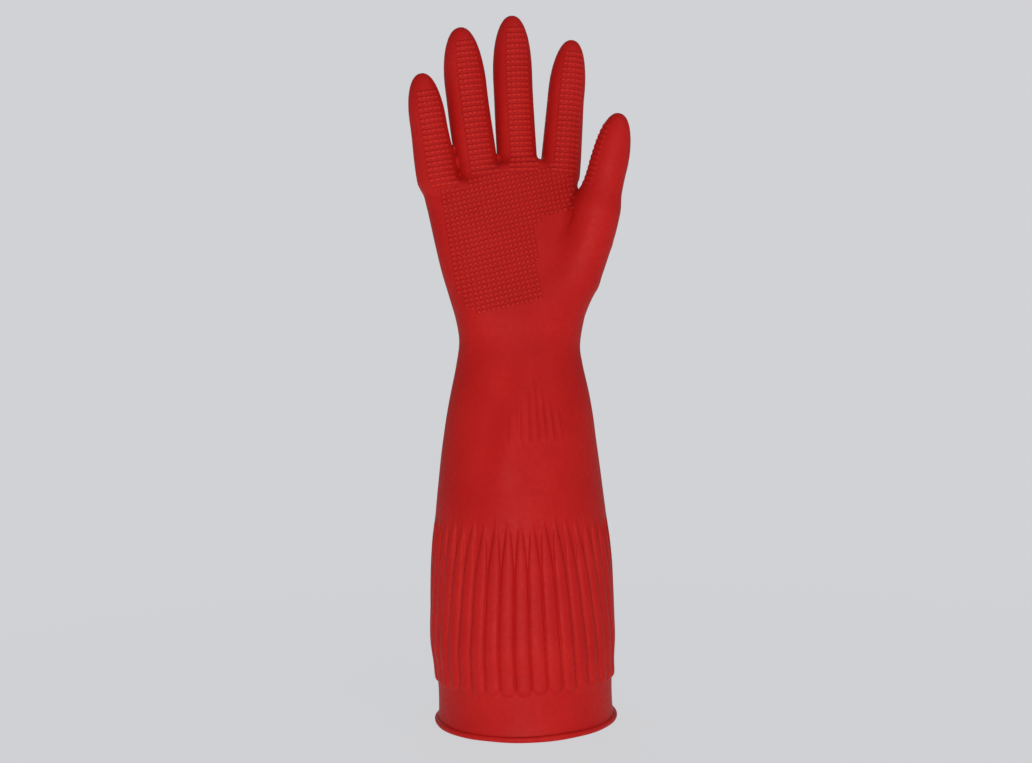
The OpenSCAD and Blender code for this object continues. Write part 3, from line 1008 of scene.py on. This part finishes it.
def noise(tree, place, scale, detail, roughness=0.5):
    """Clouds with about scale of them in a metre."""
    node = tree.nodes.new("ShaderNodeTexNoise")
    set_inputs(node, Scale=scale, Detail=detail, Roughness=roughness)
    tree.links.new(place.outputs["Vector"], node.inputs["Vector"])
    return node


def spread(tree, source, low, high, to_low, to_high):
    """Maps a value from one range to another."""
    node = tree.nodes.new("ShaderNodeMapRange")
    set_inputs(node, From_Min=low, From_Max=high, To_Min=to_low, To_Max=to_high)
    tree.links.new(source, node.inputs["Value"])
    return node.outputs["Result"]


def mix(tree, share, first, second):
    """Blends two colours, each one a list or a socket."""
    node = tree.nodes.new("ShaderNodeMix")
    node.data_type = "RGBA"
    tree.links.new(share, node.inputs["Factor"])
    for value, place in ((first, "A"), (second, "B")):
        socket = [i for i in node.inputs if i.name == place and i.type == "RGBA"][0]
        if isinstance(value, list):
            socket.default_value = value
        else:
            tree.links.new(value, socket)
    return [o for o in node.outputs if o.type == "RGBA"][0]


def bump(tree, height, strength, distance, before=None):
    node = tree.nodes.new("ShaderNodeBump")
    set_inputs(node, Strength=strength, Distance=distance)
    tree.links.new(height, node.inputs["Height"])
    if before is not None:
        tree.links.new(before, node.inputs["Normal"])
    return node.outputs["Normal"]


def attribute_node(tree, name):
    """Reads a mesh's attribute. rest_place, where each point lies at rest, makes a pattern
    move with the skin."""
    node = tree.nodes.new("ShaderNodeAttribute")
    node.attribute_name = name
    return node


def calculate(tree, operation, first, second=None):
    node = tree.nodes.new("ShaderNodeMath")
    node.operation = operation
    for socket, value in zip(node.inputs, (first, second)):
        if isinstance(value, (int, float)):
            socket.default_value = value
        elif value is not None:
            tree.links.new(value, socket)
    return node.outputs["Value"]


def dot_height(tree, attribute, half):
    """The same raised dots as the mesh has, with crisper edges, and the field they fill."""
    place = attribute_node(tree, attribute)
    parts = tree.nodes.new("ShaderNodeSeparateXYZ")
    tree.links.new(place.outputs["Vector"], parts.inputs["Vector"])
    powers = []
    for axis, reach in zip("XY", half):
        near = calculate(tree, "ROUND", parts.outputs[axis])
        away = calculate(tree, "SUBTRACT", parts.outputs[axis], near)
        share = calculate(tree, "DIVIDE", away, reach)
        powers.append(calculate(tree, "POWER", calculate(tree, "ABSOLUTE", share), 4))
    size = calculate(tree, "POWER", calculate(tree, "ADD", *powers), 0.25)
    dot = spread(tree, size, *CRISP_DOT, 1, 0)
    return calculate(tree, "MULTIPLY", dot, parts.outputs["Z"]), parts.outputs["Z"]


def make_rubber():
    """Dipped red rubber: satin, faintly cloudy, with the flock's grain showing through, and
    painted highlight and shade on its grip dots.
    """
    material, tree = shader("red_rubber")
    surface = tree.nodes["Principled BSDF"]
    place = attribute_node(tree, "rest_place")
    clouds = noise(tree, place, 34, 4)
    spots = noise(tree, place, 420, 3)
    cloud_share = spread(tree, clouds.outputs["Fac"], 0.35, 0.65, 0, 1)
    spot_share = spread(tree, spots.outputs["Fac"], 0.4, 0.7, 0, 0.35)
    base = mix(tree, cloud_share, linear(*RUBBER), linear(*RUBBER_CLOUD))
    colour = mix(tree, spot_share, base, linear(*RUBBER_SPOT))
    # Painted shade in the dip between the dots, and a painted highlight on the dots
    palm, palm_field = dot_height(tree, "palm_place", PALM_DOT)
    strip, strip_field = dot_height(tree, "strip_place", STRIP_DOT)
    dots = calculate(tree, "ADD", palm, strip)
    field = calculate(tree, "ADD", palm_field, strip_field)
    between = calculate(tree, "SUBTRACT", field, dots)
    # Painted shade between the dots
    deep = mix(tree, calculate(tree, "MULTIPLY", between, 0.25), colour,
        linear(*RUBBER_PAINTED_SHADE_BETWEEN_DOTS))
    # Painted highlight on the raised dots
    colour = mix(tree, calculate(tree, "MULTIPLY", dots, 0.5), deep, linear(*RUBBER_DOT_PAINTED_HIGHLIGHT))
    tree.links.new(colour, surface.inputs["Base Color"])
    grain = noise(tree, place, 1500, 2)
    satin = spread(tree, spots.outputs["Fac"], 0.3, 0.7, 0.52, 0.62)
    tree.links.new(satin, surface.inputs["Roughness"])
    set_inputs(surface, Specular_IOR_Level=0.13)
    ripple = noise(tree, place, 160, 3)
    first = bump(tree, ripple.outputs["Fac"], 0.25, 0.0004)
    second = bump(tree, grain.outputs["Fac"], 0.22, 0.00012, first)
    third = bump(tree, dots, 0.7, 0.0003, second)
    tree.links.new(third, surface.inputs["Normal"])
    return material


def make_flock():
    """Short cotton fibres: matt, soft and a little uneven in colour."""
    material, tree = shader("cotton_flock")
    surface = tree.nodes["Principled BSDF"]
    place = attribute_node(tree, "rest_place")
    fibres = noise(tree, place, 1100, 6, 0.7)
    patches = noise(tree, place, 60, 3)
    share = spread(tree, patches.outputs["Fac"], 0.35, 0.65, 0, 1)
    base = mix(tree, share, linear(*FLOCK), linear(*FLOCK_PATCH))
    deep = spread(tree, fibres.outputs["Fac"], 0.35, 0.6, 0.5, 0)
    colour = mix(tree, deep, base, linear(*FLOCK_DEEP))
    tree.links.new(colour, surface.inputs["Base Color"])
    set_inputs(surface, Roughness=0.95, Specular_IOR_Level=0.15, Sheen_Weight=0.5,
        Sheen_Roughness=0.6)
    tree.links.new(bump(tree, fibres.outputs["Fac"], 0.8, 0.0005), surface.inputs["Normal"])
    return material


# ---------------- pieces on their bodies

# The CAD node that each zone stands for, besides the fingers'
NODES = {
    "skin": {"hem": "hem_band", "fluted": "fluted_cuff", "gauntlet": "gauntlet",
        "wrist": "wrist_fold", "hand": "hand_shell"},
    "flock": {"sleeve": "sleeve_lining", "hand": "hand_lining"},
}


def segments(finger):
    """The name of the part of a finger past each of its joints."""
    return ("base", "middle", "tip") if len(finger.joints) == 3 else ("base", "tip")


def grip_marks(points):
    """What the rubber's material needs to sharpen the dots that the mesh carries, and to
    paint a highlight on them and shade between them.
    """
    palm, strip = grip_places(points)
    return [("palm_place", palm), ("strip_place", strip)]


def in_metres(point):
    return tuple(float(value) * MM for value in point)


def bend_wrist(piece):
    """Bakes the piece's transform into its mesh."""
    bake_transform(piece)


def bend_finger(piece, finger, number):
    """Works out the ends of one of a finger's bends, in metres, and bakes the piece's
    transform into its mesh.
    """
    at = finger.hinges[number]
    half = (finger.zones[number][1] - finger.zones[number][0]) / 2
    along = np.array([0.0, 0.0, 1.0])
    if number:
        along = finger.hinges[number] - finger.hinges[number - 1]
        along /= np.linalg.norm(along)
    in_metres(finger.world(at - along * half))
    in_metres(finger.world(at + along * half))
    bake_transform(piece)


def place_pieces(points, faces, names, kind, material, plain=None):
    """Cuts the whole surface into its zones and sets the hem, fluted, gauntlet, sleeve and
    hand pieces on their bodies.
    """
    normals = surface_normals(points, faces)
    skin = kind == "skin"
    whole = [zone for zone in ("hem", "fluted", "gauntlet", "sleeve", "wrist", "hand")
        if (names == zone).any()]
    for zone in whole:
        part, part_faces, used = cut_out(points, faces, names, zone)
        part_normals = normals[used]
        if zone == "hem":
            part, part_faces, part_normals = with_inner_wall(part, part_faces, part_normals,
                INNER_WALL_TOP)
        places = grip_marks(plain[used]) if skin and zone in ("hand", "wrist") else ()
        piece = make_piece(f"{zone}_{kind}", part, part_faces, material, part_normals,
            places)
        if zone == "wrist":
            bend_wrist(piece)
        else:
            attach(piece, "hand" if zone == "hand" else "sleeve")
        if zone in NODES[kind]:
            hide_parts(NODES[kind][zone])
    for finger in FINGERS:
        for number, (joint, segment) in enumerate(zip(finger.joints, segments(finger))):
            part, part_faces, used = cut_out(points, faces, names, f"{finger.name}_{joint}")
            places = grip_marks(plain[used]) if skin else ()
            piece = make_piece(f"{finger.name}_{joint}_{kind}", part, part_faces, material,
                normals[used], places)
            bend_finger(piece, finger, number)
            end = "" if skin else "_lining"
            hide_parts(f"{finger.name}_{segment}{end}")
            if skin:
                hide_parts(f"{finger.name}_{joint}_fold")


# ---------------- floor, light and camera

CAMERA_Z = 201.6  # in mm, as the next ones
CAMERA_AWAY = 750
CAMERA_ASIDE = -0.7
CAMERA_TURN = math.radians(-12)
CAMERA_ROLL = math.radians(1.5)
LENS = 43.6
BACKGROUND = linear(209, 210, 213)
FLOOR_SHARE = 0.12  # how much of the light the floor near the glove throws back
FLOOR_GLOW = 0.93  # its glow, for the rest of the background's grey
FLOOR_NEAR = (0.15, 0.6)  # near ends and far begins, in metres
FLOOR_HALF = 6.0
FLOOR_Z = -0.0004  # just under the glove
WORLD_GLOW = 0.44
# Lights: name, place, size, power and the point that they face, in metres
LIGHTS = [
    ("key", (0.4, -1.08, 0.95), 0.45, 2.4, (0, 0, 0.15)),
    ("low", (-0.2, -0.78, 0.02), 0.3, 4.9, (0, 0, 0.02)),
    ("back", (0.2, 1.6, 0.9), 1.0, 6, (0, 0, 0.15)),
]


def axes_matrix(right, up, back, place):
    rows = np.eye(4)
    rows[:3, 0], rows[:3, 1], rows[:3, 2] = right, up, back
    rows[:3, 3] = place
    return Matrix(rows.tolist())


def make_camera():
    sin, cos = math.sin(CAMERA_TURN), math.cos(CAMERA_TURN)
    right, up = np.array([cos, sin, 0]), np.array([0.0, 0.0, 1.0])
    back = np.array([sin, -cos, 0])
    place = back * CAMERA_AWAY + up * CAMERA_Z + right * CAMERA_ASIDE
    turned_right = right * math.cos(CAMERA_ROLL) - up * math.sin(CAMERA_ROLL)
    turned_up = up * math.cos(CAMERA_ROLL) + right * math.sin(CAMERA_ROLL)
    data = bpy.data.cameras.new("camera")
    data.lens = LENS
    data.sensor_width = 36
    data.clip_start = 0.01
    camera = add_object("camera", data)
    camera.matrix_world = axes_matrix(turned_right, turned_up, back, place * MM)
    bpy.context.scene.camera = camera


def make_floor():
    """A pale floor that the camera sees in the same even grey as the background."""
    material, tree = shader("pale_floor")
    surface = tree.nodes["Principled BSDF"]
    place = tree.nodes.new("ShaderNodeTexCoord")
    away = tree.nodes.new("ShaderNodeVectorMath")
    away.operation = "LENGTH"
    tree.links.new(place.outputs["Object"], away.inputs[0])
    near = spread(tree, away.outputs["Value"], *FLOOR_NEAR, 1, 0)
    lit = [value * FLOOR_SHARE for value in BACKGROUND[:3]] + [1]
    tree.links.new(mix(tree, near, [0, 0, 0, 1], lit), surface.inputs["Base Color"])
    set_inputs(surface, Roughness=0.9, Specular_IOR_Level=0.0, Emission_Color=BACKGROUND)
    glow = spread(tree, near, 0, 1, 1, FLOOR_GLOW)
    tree.links.new(glow, surface.inputs["Emission Strength"])
    corners = np.array([(x * FLOOR_HALF, y * FLOOR_HALF, FLOOR_Z)
        for x, y in ((-1, -1), (1, -1), (1, 1), (-1, 1))])
    mesh = new_mesh("floor", corners, [[0, 1, 2, 3]])
    mesh.materials.append(material)
    add_object("floor", mesh)


def make_light(name, place, size, power, at):
    data = bpy.data.lights.new(name, "AREA")
    data.shape = "DISK"
    data.size = size
    data.energy = power
    light = add_object(name, data)
    back = unit(np.array([np.array(place) - np.array(at)]))[0]
    right = unit(np.array([np.cross([0, 0, 1], back)]))[0]
    light.matrix_world = axes_matrix(right, np.cross(back, right), back, place)


def make_world():
    """The camera sees the world in the background's grey. It lights the glove more softly."""
    world = bpy.data.worlds.new("even_grey")
    world.use_nodes = True
    tree = world.node_tree
    seen = tree.nodes["Background"]
    set_inputs(seen, Color=BACKGROUND)
    glow = tree.nodes.new("ShaderNodeBackground")
    set_inputs(glow, Color=BACKGROUND, Strength=WORLD_GLOW)
    path, share = tree.nodes.new("ShaderNodeLightPath"), tree.nodes.new("ShaderNodeMixShader")
    tree.links.new(path.outputs["Is Camera Ray"], share.inputs["Fac"])
    tree.links.new(glow.outputs["Background"], share.inputs[1])
    tree.links.new(seen.outputs["Background"], share.inputs[2])
    tree.links.new(share.outputs["Shader"], tree.nodes["World Output"].inputs["Surface"])
    bpy.context.scene.world = world
    bpy.context.scene.view_settings.view_transform = "Standard"


# ---------------- making the glove

FINGERS = make_fingers()
make_camera()
make_world()
for light_values in LIGHTS:
    make_light(*light_values)
make_floor()
rubber, flock = make_rubber(), make_flock()

skin_points, skin_faces, plain_skin = whole_skin()
place_pieces(skin_points, skin_faces, zone_names(plain_skin, skin_faces), "skin", rubber,
    plain_skin)
make_bead(rubber)

flock_points, flock_faces = whole_lining(skin_points, skin_faces)
flock_names = zone_names(flock_points, flock_faces)
for low_zone in ("hem", "fluted", "gauntlet"):
    flock_names[flock_names == low_zone] = "sleeve"
place_pieces(flock_points, flock_faces, flock_names, "flock", flock)
